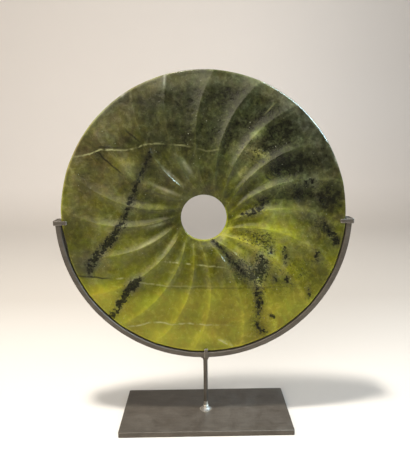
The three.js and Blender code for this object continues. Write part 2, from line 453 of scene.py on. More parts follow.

# Pale hairlines, and a painted streak of reflection near the bottom: x, z and how strongly each shows
# there.
PALE_LINES_AND_SHEEN = (
    (
        (-134, 66, 0.0), (-127, 66.8, 0.7), (-122, 67, 0.7), (-113.5, 69.3, 0.9), (-105, 72.7, 0.9),
        (-88.5, 72.3, 0.8), (-80, 72.3, 0.8), (-70, 73.5, 0.7), (-62, 77, 0.6), (-47, 78.5, 0.4),
        (-36, 77.0, 0.0), (-23.5, 76.8, 0.5), (-10, 74.0, 0.0), (3, 70, 0.3), (11, 71, 0.4),
        (20, 72, 0.0),
    ),
    (
        (-52, -45.5, 0.0), (-38.5, -47, 0.7), (-28.5, -48, 1.0), (-13.5, -50.5, 0.6),
        (15, -53, 0.5), (24, -54, 0.0),
    ),
    (
        (-88, -119.5, 0.0), (-76, -118.5, 0.8), (-68.5, -117.5, 1.0), (-62, -115, 0.9), (-48.5, -115, 0.9),
        (-37, -117.5, 1.0), (-28, -116.5, 0.6), (-12, -117.5, 0.8), (10, -119, 0.4), (33, -120, 0.0),
    ),
    (
        (-97, -64.5, 0.0), (-88.5, -64, 0.8), (-80, -65.5, 0.3), (-62, -71, 0.45),
        (-30, -74, 0.25), (40, -75, 0.0),
    ),
    ((75, 118.5, 0.0), (68, 111.5, 0.4), (60, 103.5, 0.0)),
    # A painted streak of reflection near the bottom.
    ((11, -134, 0.0), (17, -137.5, 1.0), (24, -141.5, 1.0), (33, -144.5, 0.0)),
    ((19, -133, 0.0), (23, -137, 1.0), (29, -142, 0.8), (32, -145, 0.0)),
)

# Fine dark cracks, and a painted shadow beside a pale hairline: x, z and how strongly each shows there.
DARK_LINES = (
    # A painted shadow along the pale hairline at the upper left.
    ((-112, 74, 0.0), (-105, 75.5, 0.6), (-88.5, 74.6, 0.6), (-80, 74.6, 0.0)),
    ((-111, 71, 0.0), (-106, 69, 0.7), (-100, 62, 0.9), (-92, 55, 0.8), (-87, 51, 0.8), (-80, 45, 0.0)),
    ((-80, 94, 0.0), (-77, 91, 0.6), (-68.5, 83.5, 0.8), (-63, 78, 0.0)),
    ((-141, -58.5, 0.0), (-133, -60.5, 0.8), (-122, -62, 0.9), (-110, -63.5, 0.9), (-98, -64, 0.0)),
    ((64, 46, 0.0), (66, 43, 0.8), (69, 40, 0.8), (71, 38, 0.0)),
    (
        (-62, -72.5, 0.0), (-30, -76, 0.3), (20, -77, 0.35), (60, -76.5, 0.3), (95, -76, 0.3),
        (110, -75, 0.0),
    ),
)

# Beyond this distance from the nearest vein or line it no longer matters how far it is.
FAR_AWAY = 50.0


def heap(x, z, clouds):
    """The sum of soft heaps: amount * exp(-(u/length)**2 - (v/width)**2), u along its tilt."""
    total = np.zeros_like(x)
    for cloud_x, cloud_z, length, width, tilt, amount in clouds:
        turn = math.radians(tilt)
        u = (x - cloud_x) * math.cos(turn) + (z - cloud_z) * math.sin(turn)
        v = (z - cloud_z) * math.cos(turn) - (x - cloud_x) * math.sin(turn)
        total += amount * np.exp(-((u / length) ** 2) - (v / width) ** 2)
    return total


def beside_path(x, z, path):
    """Signed distance from a path of straight stretches, and its third value where it is nearest.

    The distance is above 0 on the left of the path's direction and below 0 on its right.
    """
    nearest = np.full(x.shape, np.inf)
    side = np.zeros(x.shape)
    value = np.zeros(x.shape)
    for (ax, az, a_value), (bx, bz, b_value) in zip(path[:-1], path[1:]):
        dx, dz = bx - ax, bz - az
        share = np.clip(((x - ax) * dx + (z - az) * dz) / (dx * dx + dz * dz), 0.0, 1.0)
        distance = np.hypot(x - ax - share * dx, z - az - share * dz)
        closer = distance < nearest
        nearest = np.where(closer, distance, nearest)
        side = np.where(closer, np.sign((z - az) * dx - (x - ax) * dz), side)
        value = np.where(closer, a_value + share * (b_value - a_value), value)
    return nearest * side, value


def nearest_line(x, z, lines):
    """Signed distance from the nearest of the lines, and how strongly it shows there.

    The strength falls to 0 between 3 and 6 mm away, further out than the line wavers.
    """
    distance = np.full(x.shape, FAR_AWAY)
    strength = np.zeros(x.shape)
    for line in lines:
        away, shown = beside_path(x, z, line)
        closer = np.abs(away) < np.abs(distance)
        distance = np.where(closer, away, distance)
        strength = np.where(closer, shown, strength)
    return distance, strength * (1.0 - smoothstep(np.abs(distance), 3.0, 6.0))


def vein_distance(x, z):
    """Distance outside the edge of the nearest black vein, below 0 inside it."""
    distance = np.full(x.shape, FAR_AWAY)
    for vein in BLACK_VEINS:
        away, width = beside_path(x, z, vein)
        distance = np.minimum(distance, np.abs(away) - width / 2)
    return distance


def painted_edge_glow(x, z):
    """How much paler the stone is painted at its edges: a painted glow and highlight.

    The rim is painted glowing all round, more at the upper left and in the lower half, and
    the hole's edge along its lower right side.
    """
    r = np.hypot(x, z)
    upper_left = smoothstep(-x, 30.0, 120.0) * smoothstep(z, -50.0, 10.0)
    lower_half = smoothstep(-z, 0.0, 60.0)
    at_rim = smoothstep(r, DISC_R - 2.6, DISC_R - 0.4)
    at_hole = 1.0 - smoothstep(r, HOLE_R, HOLE_R + 2.2)
    lower_right = smoothstep(0.6 * x - z, -8.0, 16.0)
    painted_rim_glow = (27.0 + 50.0 * upper_left + 25.0 * lower_half) * at_rim
    return painted_rim_glow + 75.0 * at_hole * lower_right


def stone_fields(x, z):
    """What colours the stone at each place, as named arrays for the material.

    tone runs from DARKEST to PALEST, grey from 0 to 1 and green round 0. grey is partly
    the stone's own and partly a painted sheen. broken is how strongly noise stirs the
    tone, and worn how much paler the crests are painted, for rubbed wear and a painted highlight.
    """
    # Paler towards the bottom: partly the stone's own colour and partly a painted glow of light through
    # it.
    tone = painted_edge_glow(x, z) + 90.0 - 0.28 * z + heap(x, z, CLOUDS_AND_PAINTED_GLINTS)
    # Greyer towards the top: partly the stone's own grey and partly a painted sheen.
    grey = 0.16 + 0.0034 * z + heap(x, z, GREY_ZONES_AND_SHEEN)
    green = -0.5 + heap(x, z, GREEN_ZONES)
    pale_line, pale_shown = nearest_line(x, z, PALE_LINES_AND_SHEEN)
    dark_line, dark_shown = nearest_line(x, z, DARK_LINES)
    return [
        ("tone", tone),
        ("grey", grey),
        ("green", green),
        ("speckle", heap(x, z, SPECKLED)),
        ("broken", 0.42 + 0.26 * smoothstep(z, -90.0, 0.0) + 0.18 * smoothstep(x, -40.0, 60.0)),
        # Crests painted paler, more to the lower right: partly wear and partly a painted highlight.
        ("worn", 0.35 + 0.65 * smoothstep(x - 1.6 * z, -60.0, 60.0)),
        ("vein", vein_distance(x, z)),
        ("pale_line", pale_line),
        ("pale_shown", pale_shown),
        ("dark_line", dark_line),
        ("dark_shown", dark_shown),
    ]


# ---- The disc ----

# How many points each stretch of the disc's section has. A crowding above 1 draws the
# front's points together towards the hole.
LIP_POINTS = 6
FRONT_POINTS = 88
FRONT_CROWDING = 1.2
BACK_POINTS = 22
HOLE_WALL_POINTS = 5
RIM_WALL_POINTS = 7


def crest_y(r):
    """The front along a crest: level at the rim, falling off exponentially to the hole."""
    return -RIM_HALF + FUNNEL_DEPTH * np.exp(-(r - HOLE_R) / FUNNEL_LENGTH)


def back_y(r):
    """The back: level at the rim, with a very shallow exponential dish to the hole."""
    return RIM_HALF - BACK_DISH_DEPTH * np.exp(-(r - HOLE_R) / BACK_DISH_LENGTH)


def crest_bend(r):
    """The direction of the point at radius r on a circle that is a crest, by the cosine rule."""
    c = CREST_ARC_OFFSET
    return np.arccos((r * r + c * c - CREST_ARC_R**2) / (2.0 * r * c))


def disc_profile():
    """Half of the section through the disc as radius, y and how much the flutes move it.

    It runs from the hole's front lip out over the front, round the rim, in over the
    back and down the hole's wall. Lips are quarter circles.
    """
    turn = np.linspace(0.0, math.pi / 2, LIP_POINTS)
    out = 1.0 - np.cos(turn)
    rise = np.sin(turn)
    inner = HOLE_R + LIP
    outer = DISC_R - RIM_LIP
    front_r = inner + (outer - inner) * np.linspace(0.0, 1.0, FRONT_POINTS) ** FRONT_CROWDING
    back_r = inner + (outer - inner) * np.linspace(1.0, 0.0, BACK_POINTS)
    front_lip_y = crest_y(inner) + LIP * (1.0 - rise)
    rim_front_y = crest_y(outer) + RIM_LIP * out
    rim_back_y = back_y(outer) - RIM_LIP * (1.0 - rise)
    back_lip_y = back_y(inner) - LIP * out
    wall = np.linspace(0.0, 1.0, HOLE_WALL_POINTS)[1:-1]
    rim_wall = np.linspace(0.0, 1.0, RIM_WALL_POINTS)[1:-1]
    radius = [
        HOLE_R + LIP * out,
        front_r[1:-1],
        outer + RIM_LIP * rise,
        np.full(len(rim_wall), DISC_R),
        outer + RIM_LIP * (1.0 - out),
        back_r[1:-1],
        HOLE_R + LIP * (1.0 - rise),
        np.full(len(wall), HOLE_R),
    ]
    y = [
        front_lip_y,
        crest_y(front_r[1:-1]),
        rim_front_y,
        rim_front_y[-1] + (rim_back_y[0] - rim_front_y[-1]) * rim_wall,
        rim_back_y,
        back_y(back_r[1:-1]),
        back_lip_y,
        back_lip_y[-1] + (front_lip_y[0] - back_lip_y[-1]) * wall,
    ]
    share = [
        np.ones(len(out) + len(front_r) - 2 + len(out)),
        1.0 - smoothstep(rim_wall, 0.0, 0.8),
        np.zeros(len(out) + len(back_r) - 2 + len(out) + len(wall)),
    ]
    return np.concatenate(radius), np.concatenate(y), np.concatenate(share)


def unevenness(x, z):
    """The hand finish: the mean of three slow waves that cross, from -1 to 1."""
    return (
        np.sin(x / 13.0 + 1.3 * np.sin(z / 21.0))
        + np.sin(z / 11.0 + 1.7 * np.sin(x / 17.0 + 0.6))
        + np.sin((x + z) / 7.3 + 0.9)
    ) / 3.0


def carved_disc():
    """The disc as a function of two parameters: the place along the profile, and the turn.

    Lines of points follow the crests. Between two crests the front is sunk by
    depth * (1 - |2u - 1| ** sharpness), where u runs from 0 to 1 across the flute. The
    flat takes depth * exp(-(degrees from its middle / half width) ** 2) off the radius.
    """
    radius, y, share = disc_profile()
    step = np.arange(len(CREST_ANGLES) * LINES_PER_FLUTE)
    flute = step // LINES_PER_FLUTE
    across = (step % LINES_PER_FLUTE) / LINES_PER_FLUTE
    crests = np.append(CREST_ANGLES, CREST_ANGLES[0] + 360.0)
    base = np.radians(crests[flute] + across * (crests[flute + 1] - crests[flute]))
    section = 1.0 - np.abs(2.0 * across - 1.0) ** FLUTE_SHARPNESS

    r = radius[:, None]
    fade = 1.0 - (1.0 - FLUTE_RIM_SHARE) * smoothstep(r, FLUTE_FADE_START, DISC_R)
    depth = FLUTE_DEPTH * smoothstep(r, FLUTE_START, FLUTE_FULL) * fade
    sink = share[:, None] * section[None, :]
    angle = base[None, :] + crest_bend(r) - crest_bend(MID_R)
    away = (np.degrees(angle) - FLAT_ANGLE) / FLAT_HALF_WIDTH
    r = r - FLAT_DEPTH * np.exp(-away * away) * smoothstep(r, DISC_R - FLAT_REACH, DISC_R)
    x = r * np.cos(angle)
    z = r * np.sin(angle)
    hand = HAND_FINISH * (1.0 + unevenness(x, z)) * smoothstep(r, HOLE_R + 3.0, HOLE_R + 12.0)
    side = np.where(y < 0, 1.0, -1.0)[:, None] * smoothstep(DISC_R - r, 0.5, 4.0)
    points = np.stack([x, y[:, None] + sink * depth + hand * side, z + DISC_Z], axis=-1)
    flute_fields = [
        ("crest", share[:, None] * (1.0 - section[None, :])),
        ("grain_x", np.broadcast_to(GRAIN_R * np.cos(base), r.shape)),
        ("grain_z", np.broadcast_to(GRAIN_R * np.sin(base), r.shape)),
    ]
    return grid_piece(
        "carved_jade_disc", points, ["jade_disc"], round_both=True,
        attributes=[*flute_fields, *stone_fields(x, z)],
    )


# ---- The stand ----

SIDEWAYS = np.array([1.0, 0.0, 0.0])
BACKWARD = np.array([0.0, 1.0, 0.0])
UPWARD = np.array([0.0, 0.0, 1.0])


def upright(name, node, levels, sections):
    """A piece of steel from sections in x and y, each raised to its level over the origin."""
    points = loft(levels[:, None] * UPWARD, SIDEWAYS, BACKWARD, sections)
    return grid_piece(name, points, [node])


def foot_plate():
    """A rounded rectangle raised through the plate's thickness, drawn in at both ends."""
    half_x, half_y, half_z = (PLATE_HIGH - PLATE_LOW) / 2
    rise, inset = stations(half_z * 2, EDGE_BREAK, 3.0)
    sections = np.array(
        [rounded_rectangle(half_x - i, half_y - i, PLATE_CORNER - i) for i in inset]
    )
    cap = rounded_rectangle(half_x - PLATE_CORNER, half_y - PLATE_CORNER, EDGE_BREAK)[None]
    sections = np.concatenate([cap, sections, cap])
    rise = np.concatenate([rise[:1], rise, rise[-1:]])
    return upright("steel_foot_plate", "base_plate", PLATE_LOW[2] + rise, sections)


def bent_bar():
    """A flat bar's section carried round the cradle's arc, from clip to clip."""
    centre_z = DISC_Z + BAR_SHIFT_Z
    mid_r = (centre_z - ARC_LOW[2]) - BAR_THICKNESS / 2
    left_rise = math.asin((LEFT_CLIP_TOP - BAR_CLIP_GAP - BAR_SHIFT_Z) / mid_r)
    right_rise = math.asin((RIGHT_CLIP_TOP - BAR_CLIP_GAP - BAR_SHIFT_Z) / mid_r)
    length = (math.pi + left_rise + right_rise) * mid_r
    along, inset = stations(length, EDGE_BREAK, 3.0)
    angle = math.pi - left_rise + along / mid_r
    outward = np.stack([np.cos(angle), np.zeros_like(angle), np.sin(angle)], axis=-1)
    centres = np.array([BAR_SHIFT_X, 0.0, centre_z]) + mid_r * outward
    half_depth = (ARC_HIGH[1] - ARC_LOW[1]) / 2
    # The corners shrink less than the ends are drawn in, so that they stay round.
    sections = np.array(
        [
            rounded_rectangle(BAR_THICKNESS / 2 - i, half_depth - i, BAR_CORNER - i * 0.8)
            for i in inset
        ]
    )
    points = loft(centres, outward, BACKWARD, sections)
    return grid_piece("bent_cradle_bar", points, ["cradle_arc"])


def clip_path(reach, half_width, bend):
    """A U in its own plane, as distances from the middle of its web and to its side.

    A straight prong, a quarter circle, the web, a quarter circle and a straight prong.
    """
    turn = np.linspace(0.0, math.pi / 2, 9)
    prong = np.linspace(reach, bend, 12)[:-1]
    web = np.linspace(half_width - bend, bend - half_width, 10)[1:-1]
    along = [
        prong,
        bend - bend * np.sin(turn),
        np.zeros_like(web),
        bend - bend * np.cos(turn),
        prong[::-1],
    ]
    side = [
        np.full(len(prong), half_width),
        half_width - bend + bend * np.cos(turn),
        web,
        bend - half_width - bend * np.sin(turn),
        np.full(len(prong), -half_width),
    ]
    return np.concatenate(along), np.concatenate(side)


def strip_clip(name, node, reach_axis, height_axis):
    """A strip of steel bent into a U round the rim, its prongs a little narrower at the tips.

    Its web lies at the outside of its node's box, and its prongs run along reach_axis.
    """
    low, high = node_box(node)
    axis = int(np.argmax(np.abs(reach_axis)))
    height = int(np.argmax(np.abs(height_axis)))
    half_strip = CLIP_THICKNESS / 2
    reach = high[axis] - low[axis]
    half_width = (high[1] - low[1] - CLIP_THICKNESS) / 2
    start = low[axis] if reach_axis[axis] > 0 else high[axis]
    along, side = clip_path(reach - half_strip, half_width, half_strip + CLIP_INSIDE_BEND)
    centres = np.zeros((len(along), 3))
    centres[:, axis] = start + reach_axis[axis] * (along + half_strip)
    centres[:, 1] = side
    centres[:, height] = (low[height] + high[height]) / 2
    tangent = np.gradient(centres, axis=0)
    tangent /= np.linalg.norm(tangent, axis=1)[:, None]
    normal = np.cross(tangent, height_axis)
    distance = np.append(0.0, np.cumsum(np.linalg.norm(np.diff(centres, axis=0), axis=1)))
    from_tip = np.minimum(distance, distance[-1] - distance)
    inset = end_rounding(from_tip, CLIP_CORNER)
    half_height = (high[height] - low[height]) / 2
    taper = PRONG_TAPER * (1.0 - smoothstep(from_tip, TAPERED_TIP, reach))
    sections = np.array(
        [
            rounded_rectangle(
                half_strip - i * 0.6, half_height - t - i, CLIP_CORNER - i * 0.5, 3, 0.2
            )
            for i, t in zip(inset, taper)
        ]
    )
    points = loft(centres, normal, height_axis, sections)
    return grid_piece(name, points, [node])


def round_stem():
    """A rod: a circle raised from the plate to the cradle, drawn in at both ends."""
    length = STEM_HIGH[2] - STEM_LOW[2]
    rise, inset = stations(length, ROD_BREAK, 2.0)
    angle = np.linspace(0.0, 2.0 * math.pi, 40, endpoint=False)
    circle = np.stack([np.cos(angle), np.sin(angle)], axis=-1)
    sections = (STEM_R - inset)[:, None, None] * circle[None]
    return upright("round_stem", "stem", STEM_LOW[2] + rise, sections)


def weld_bead(name, node, wide_end_down, ripple_count):
    """A ring of weld metal round the stem.

    Its section goes up a hollow flank and down the rod. The flank's reach from the rod
    falls off as (1 - rise) ** hollow. It swells and shrinks with the turn, as a bead
    laid in short steps does, by two waves and a row of ripples.
    """
    low, high = node_box(node)
    height = high[2] - low[2]
    reach = min(high[0] - low[0], high[1] - low[1]) / 2 - WELD_ROOM
    inner = STEM_R + WELD_OFF_ROD
    turn = np.linspace(0.0, 2.0 * math.pi, 120, endpoint=False)[None, :]
    rise = np.linspace(0.0, 1.0, 22)[:, None]
    flank = inner + WELD_TOP + (reach - inner - WELD_TOP) * (1.0 - rise) ** WELD_HOLLOW
    swell = WELD_LONG_WAVE * np.sin(2.0 * turn + 0.7) + WELD_SHORT_WAVE * np.sin(5.0 * turn)
    most = WELD_LONG_WAVE + WELD_SHORT_WAVE
    ripple = WELD_RIPPLE * (np.abs(np.sin(ripple_count * turn + 2.0 * rise)) - 1.0)
    flank = inner + (flank - inner) * (1.0 - most + swell + ripple)
    rod = inner + np.zeros_like(flank)
    level = rise + np.zeros_like(flank)
    radius = np.concatenate([flank, rod[::-4]])
    level = np.concatenate([level, level[::-4]])
    z = low[2] + level * height if wide_end_down else high[2] - level * height
    points = np.stack([radius * np.cos(turn), radius * np.sin(turn), z], axis=-1)
    return grid_piece(name, points, [node], round_both=True)


# ---- Materials ----


class Finish:
    """One node material, and short ways of adding nodes to it.

    An input is either a number or colour, which is set on its socket, or the output of
    another node, which is linked to it.
    """

    def __init__(self, name):
        self.material = bpy.data.materials.new(name)
        self.material.use_nodes = True
        self.nodes = self.material.node_tree.nodes
        self.links = self.material.node_tree.links
        self.shader = self.nodes["Principled BSDF"]
        self.place = self.add("ShaderNodeTexCoord").outputs["Object"]

    def add(self, kind, settings=None, **inputs):
        """A node with its settings. Its inputs go by name, or by number as _0, _1, _2."""
        node = self.nodes.new(kind)
        for key, value in (settings or {}).items():
            setattr(node, key, value)
        for key, value in inputs.items():
            socket = int(key[1:]) if key[0] == "_" else key.replace("_", " ")
            self.put(node.inputs[socket], value)
        return node

    def put(self, socket, value):
        if isinstance(value, bpy.types.NodeSocket):
            self.links.new(value, socket)
        else:
            socket.default_value = value

    def surface(self, name, value):
        """Sets or links one input of the shader itself."""
        self.put(self.shader.inputs[name], value)

    def math(self, operation, a, b=0.0, c=0.0):
        node = self.add("ShaderNodeMath", {"operation": operation}, _0=a, _1=b, _2=c)
        return node.outputs[0]

    def vector(self, operation, a, b=(0.0, 0.0, 0.0), c=(0.0, 0.0, 0.0)):
        node = self.add("ShaderNodeVectorMath", {"operation": operation}, _0=a, _1=b)
        if operation == "MULTIPLY_ADD":
            self.put(node.inputs[2], c)
        return node.outputs["Value"] if operation == "LENGTH" else node.outputs["Vector"]

    def times(self, a, b):
        return self.math("MULTIPLY", a, b)

    def raised(self, value, where, amount):
        """value raised by amount where the other is 1, and by nothing where it is 0."""
        return self.math("MULTIPLY_ADD", where, amount, value)

    def millimetres(self):
        """The place on the piece in millimetres."""
        return self.vector("MULTIPLY", self.place, (1000.0, 1000.0, 1000.0))

    def parts(self, place):
        """A place's X, Y and Z, by name."""
        return self.add("ShaderNodeSeparateXYZ", None, Vector=place).outputs

    def from_stem(self, mm):
        """The distance from the stem's axis."""
        return self.vector("LENGTH", self.vector("MULTIPLY", mm, (1.0, 1.0, 0.0)))

    def field(self, name):
        """One of the piece's own fields, by name."""
        return self.add("ShaderNodeAttribute", {"attribute_name": name}).outputs["Fac"]

    def noise(self, place, size, detail=3.0, rough=0.55, twist=0.0):
        """Noise round 0.5 whose blobs are about size across, in the units of place."""
        node = self.add(
            "ShaderNodeTexNoise", None, Vector=place, Scale=1.0 / size,
            Detail=detail, Roughness=rough, Distortion=twist,
        )
        return node.outputs["Fac"]

    def centred(self, noise, amount):
        """Noise from 0 to 1 brought to half of amount either side of 0."""
        return self.raised(-amount / 2, noise, amount)

    def stirred(self, value, noise, amount, drop=0.0):
        """value moved by noise, up to half of amount either way, and lowered by drop."""
        lowered = self.math("SUBTRACT", value, amount / 2 + drop)
        return self.raised(lowered, noise, amount)

    def span(self, value, low, high, to_low=0.0, to_high=1.0, smooth=True):
        """value from low..high brought to to_low..to_high, and held outside."""
        node = self.add(
            "ShaderNodeMapRange",
            {"interpolation_type": "SMOOTHSTEP" if smooth else "LINEAR", "clamp": True},
            Value=value, From_Min=low, From_Max=high, To_Min=to_low, To_Max=to_high,
        )
        return node.outputs["Result"]

    def ramp(self, value, stops):
        """The colour between the stops, each a position and its (red, green, blue)."""
        node = self.add("ShaderNodeValToRGB", None, Fac=value)
        ramp = node.color_ramp
        while len(ramp.elements) < len(stops):
            ramp.elements.new(0.5)
        for element, (position, colour) in zip(ramp.elements, stops):
            element.position = position
            element.color = (*colour, 1.0)
        return node.outputs["Color"]

    def mix(self, share, a, b):
        """a where share is 0 and b where it is 1."""
        node = self.add("ShaderNodeMix", {"data_type": "RGBA"})
        self.put(node.inputs[0], share)
        self.put(node.inputs[6], (*a, 1.0) if isinstance(a, tuple) else a)
        self.put(node.inputs[7], (*b, 1.0) if isinstance(b, tuple) else b)
        return node.outputs[2]

    def cover(self, colour, share, strength, shade):
        """A shade laid over the colour where share is 1, as thickly as strength."""
        return self.mix(self.times(share, strength), colour, shade)

    def bump(self, height, depth):
        """Fine relief in the shading, from height 0 to 1 and a depth in metres."""
        node = self.add("ShaderNodeBump", None, Height=height, Strength=1.0, Distance=depth)
        self.surface("Normal", node.outputs["Normal"])

    def on(self, piece):
        piece.data.materials.clear()
        piece.data.materials.append(self.material)


def lit_as(red, green, blue):
    """The surface colour that looks about like this, from 0 to 255, in the studio's light."""
    shown = np.array([red, green, blue]) / 255.0
    linear = np.where(shown > 0.04, ((shown + 0.055) / 1.055) ** 2.4, shown / 12.92)
    return tuple(np.clip((linear - SHEEN) / STUDIO_LIGHT, 0.002, 0.9).tolist())


# ---- The jade ----
#
# Each function takes the finish it adds its nodes to, and the place in millimetres.

# The stone's ground goes from mossy green to a misty grey green, which stands partly
# for the stone's own grey and partly for a painted sheen. Blue's share of the
# other two falls off in the paler moss.
GROUND_STOPS = 7
MOSS_BLUE = 0.50
PALE_MOSS_BLUE_LOSS = 0.15
MIST_BLUE = 0.85

# How things in the stone look in the studio's light.
PALE_LINE = lit_as(174, 172, 120)
DARK_LINE = lit_as(42, 41, 26)
DARK_SPECK = lit_as(46, 49, 36)
PALE_SPECK = lit_as(176, 176, 150)
VEIN_BLACK = lit_as(28, 29, 22)
VEIN_GREY = lit_as(64, 65, 48)

# How far to either side of its path a hairline wavers.
LINE_WAVER = 1.2


def flute_grain(f, mm):
    """Noise drawn out along the flutes: it changes across them and hardly outwards."""
    from_centre = f.vector("SUBTRACT", mm, (0.0, 0.0, DISC_Z))
    radius = f.vector("LENGTH", f.vector("MULTIPLY", from_centre, (1.0, 0.0, 1.0)))
    place = f.add(
        "ShaderNodeCombineXYZ", None,
        X=f.field("grain_x"), Y=f.field("grain_z"), Z=f.times(radius, 0.16),
    )
    return f.noise(place.outputs[0], 2.2)


def stone_tone(f, mm, mottle, crumb, halo):
    """How pale the stone is, from 0 to 1: its field, stirred by noise of five sizes.

    The crests are painted paler, broadly and in a fine broken line, partly as rubbed
    wear and partly as a painted highlight. Speckled zones are crumbled, and the stone is
    darker round a vein.
    """
    blot = f.noise(mm, 34.0, rough=0.5, twist=0.6)
    patch = f.noise(mm, 12.0, detail=2.0, rough=0.5, twist=1.2)
    uneven = f.centred(blot, 0.30)
    stirs = ((patch, 0.42), (mottle, 0.62), (crumb, 0.30), (flute_grain(f, mm), 0.22))
    for noise, amount in stirs:
        uneven = f.math("ADD", uneven, f.centred(noise, amount))
    tone = f.span(f.field("tone"), DARKEST, PALEST, smooth=False)
    tone = f.raised(tone, uneven, f.field("broken"))

    # Paler crests: partly rubbed wear and partly a painted highlight.
    broad_crest = f.times(f.field("crest"), f.field("worn"))
    tone = f.raised(f.math("SUBTRACT", tone, 0.03), broad_crest, 0.19)
    fine_crest = f.math("POWER", f.field("crest"), 6.0)
    fine_crest = f.times(fine_crest, f.span(mottle, 0.35, 0.60))
    tone = f.raised(tone, fine_crest, 0.04)
    crumbs = f.times(f.math("SUBTRACT", crumb, 0.5), f.field("speckle"))
    tone = f.raised(tone, crumbs, 0.7)
    return f.raised(tone, halo, -0.11)


def stone_ground(f, mm, tone, halo):
    """The ground's colour: moss or mist of that tone, turned a little greener or warmer.

    The stone is greyer round a vein.
    """
    places = np.linspace(0.0, 1.0, GROUND_STOPS)
    levels = np.linspace(DARKEST, PALEST, GROUND_STOPS)
    moss = []
    mist = []
    for place, level in zip(places, levels):
        moss_blue = (MOSS_BLUE - PALE_MOSS_BLUE_LOSS * place) * level
        moss.append((place, lit_as(level, level, moss_blue)))
        mist.append((place, lit_as(level, level, MIST_BLUE * level)))
    haze = f.noise(mm, 13.0, rough=0.6, twist=0.5)
    # The grey is partly the stone's own and partly a painted sheen.
    grey = f.stirred(f.field("grey"), haze, 0.9)
    grey = f.raised(grey, halo, 0.22)
    colour = f.mix(grey, f.ramp(tone, moss), f.ramp(tone, mist))
    drift = f.noise(mm, 16.0, rough=0.6, twist=0.8)
    green = f.stirred(f.field("green"), drift, 22.0)
    tint = f.vector("MULTIPLY_ADD", green, (-0.0133, 0.0133, 0.0), (1.0, 1.0, 1.0))
    return f.vector("MULTIPLY", colour, tint)


def hairline(f, mm, line, wave, shown):
    """How strongly a wavering line shows, from 0 to 1. wave is the length of its wavering."""
    away = f.math("ABSOLUTE", f.stirred(f.field(line), f.noise(mm, wave), LINE_WAVER * 2))
    return f.times(f.span(away, 0.3, 1.3, 1.0, 0.0), shown)


def with_lines(f, mm, colour):
    """The colour with its dashed pale hairlines and painted reflection, and its dark cracks and painted
    shadow.
    """
    dashes = f.span(f.noise(mm, 8.0, detail=2.0), 0.32, 0.55)
    dashed = f.times(f.field("pale_shown"), dashes)
    pale = hairline(f, mm, "pale_line", 9.0, dashed)
    colour = f.cover(colour, pale, 0.95, PALE_LINE)
    dark = hairline(f, mm, "dark_line", 7.0, f.field("dark_shown"))
    return f.cover(colour, dark, 0.9, DARK_LINE)


def with_specks(f, mm, colour):
    """The colour with dark specks and a few pale ones, thicker in the speckled zones."""
    fine = f.noise(mm, 2.4, detail=2.0, rough=0.6)
    coarse = f.noise(mm, 4.4, detail=4.0, rough=0.65, twist=1.0)
    dark = f.raised(f.math("MAXIMUM", fine, coarse), f.field("speckle"), 0.25)
    colour = f.cover(colour, f.span(dark, 0.73, 0.79), 0.88, DARK_SPECK)
    pale = f.raised(f.noise(mm, 1.5, detail=0.0), f.field("speckle"), 0.06)
    return f.cover(colour, f.span(pale, 0.85, 0.89), 0.7, PALE_SPECK)


def ragged_vein(f, mm, crumb):
    """1 in a black vein and 0 outside it, with an edge that noise of two sizes tears."""
    ragged = f.noise(mm, 3.8, rough=0.6)
    edge = f.stirred(f.field("vein"), ragged, 19.0, drop=0.4)
    edge = f.stirred(edge, crumb, 6.0)
    return f.span(edge, -1.3, 1.1, 1.0, 0.0)


def jade_finish():
    """Cloudy serpentine: the fields say what lies where, and noise breaks every edge."""
    f = Finish("jade")
    mm = f.millimetres()
    mottle = f.noise(mm, 6.0, twist=0.3)
    crumb = f.noise(mm, 1.7, rough=0.6)
    # The halo is 1 in a vein and 0 from 7 mm outside it.
    halo = f.span(f.field("vein"), -1.0, 7.0, 1.0, 0.0)
    vein = ragged_vein(f, mm, crumb)

    colour = stone_ground(f, mm, stone_tone(f, mm, mottle, crumb, halo), halo)
    colour = with_lines(f, mm, colour)
    colour = with_specks(f, mm, colour)
    vein_colour = f.mix(f.span(crumb, 0.44, 0.66), VEIN_BLACK, VEIN_GREY)
    f.surface("Base Color", f.cover(colour, vein, 0.92, vein_colour))

    polish = f.span(mottle, 0.3, 0.7, 0.18, 0.30)
    f.surface("Roughness", f.raised(polish, vein, 0.15))
    f.surface("Specular IOR Level", f.raised(0.25, vein, -0.16))
    f.surface("IOR", 1.55)
    f.surface("Specular Tint", (1.0, 0.96, 0.80, 1.0))
    relief = f.math("ADD", f.times(crumb, 0.35), mottle)
    f.bump(f.raised(relief, vein, -0.4), 0.00025)
    return f


# ---- The steel ----


def bare_foot_and_painted_light(f, mm, scale, speckle):
    """1 where the stem's foot is ground bare and painted pale, up to about BARE_LENGTH over the plate.

    The pale strip is partly bare metal and partly painted light, where lamp light falls below
    the disc's shadow. The grinding also touches the plate close by, more weakly.
    """
    height = f.parts(mm)["Z"]
    top = f.raised(PLATE_HIGH[2] + BARE_LENGTH - 2.5, speckle, 5.0)
    below = f.math("SUBTRACT", 1.0, f.span(f.math("SUBTRACT", height, top), -1.0, 1.0))
    ragged = f.raised(f.from_stem(mm), scale, 6.0)
    close = f.times(below, f.span(ragged, 8.0, 10.5, 1.0, 0.0))
    on_stem = f.span(height, PLATE_HIGH[2] - 0.2, PLATE_HIGH[2] + 0.5, 0.35, 1.0)
    return f.times(close, on_stem)


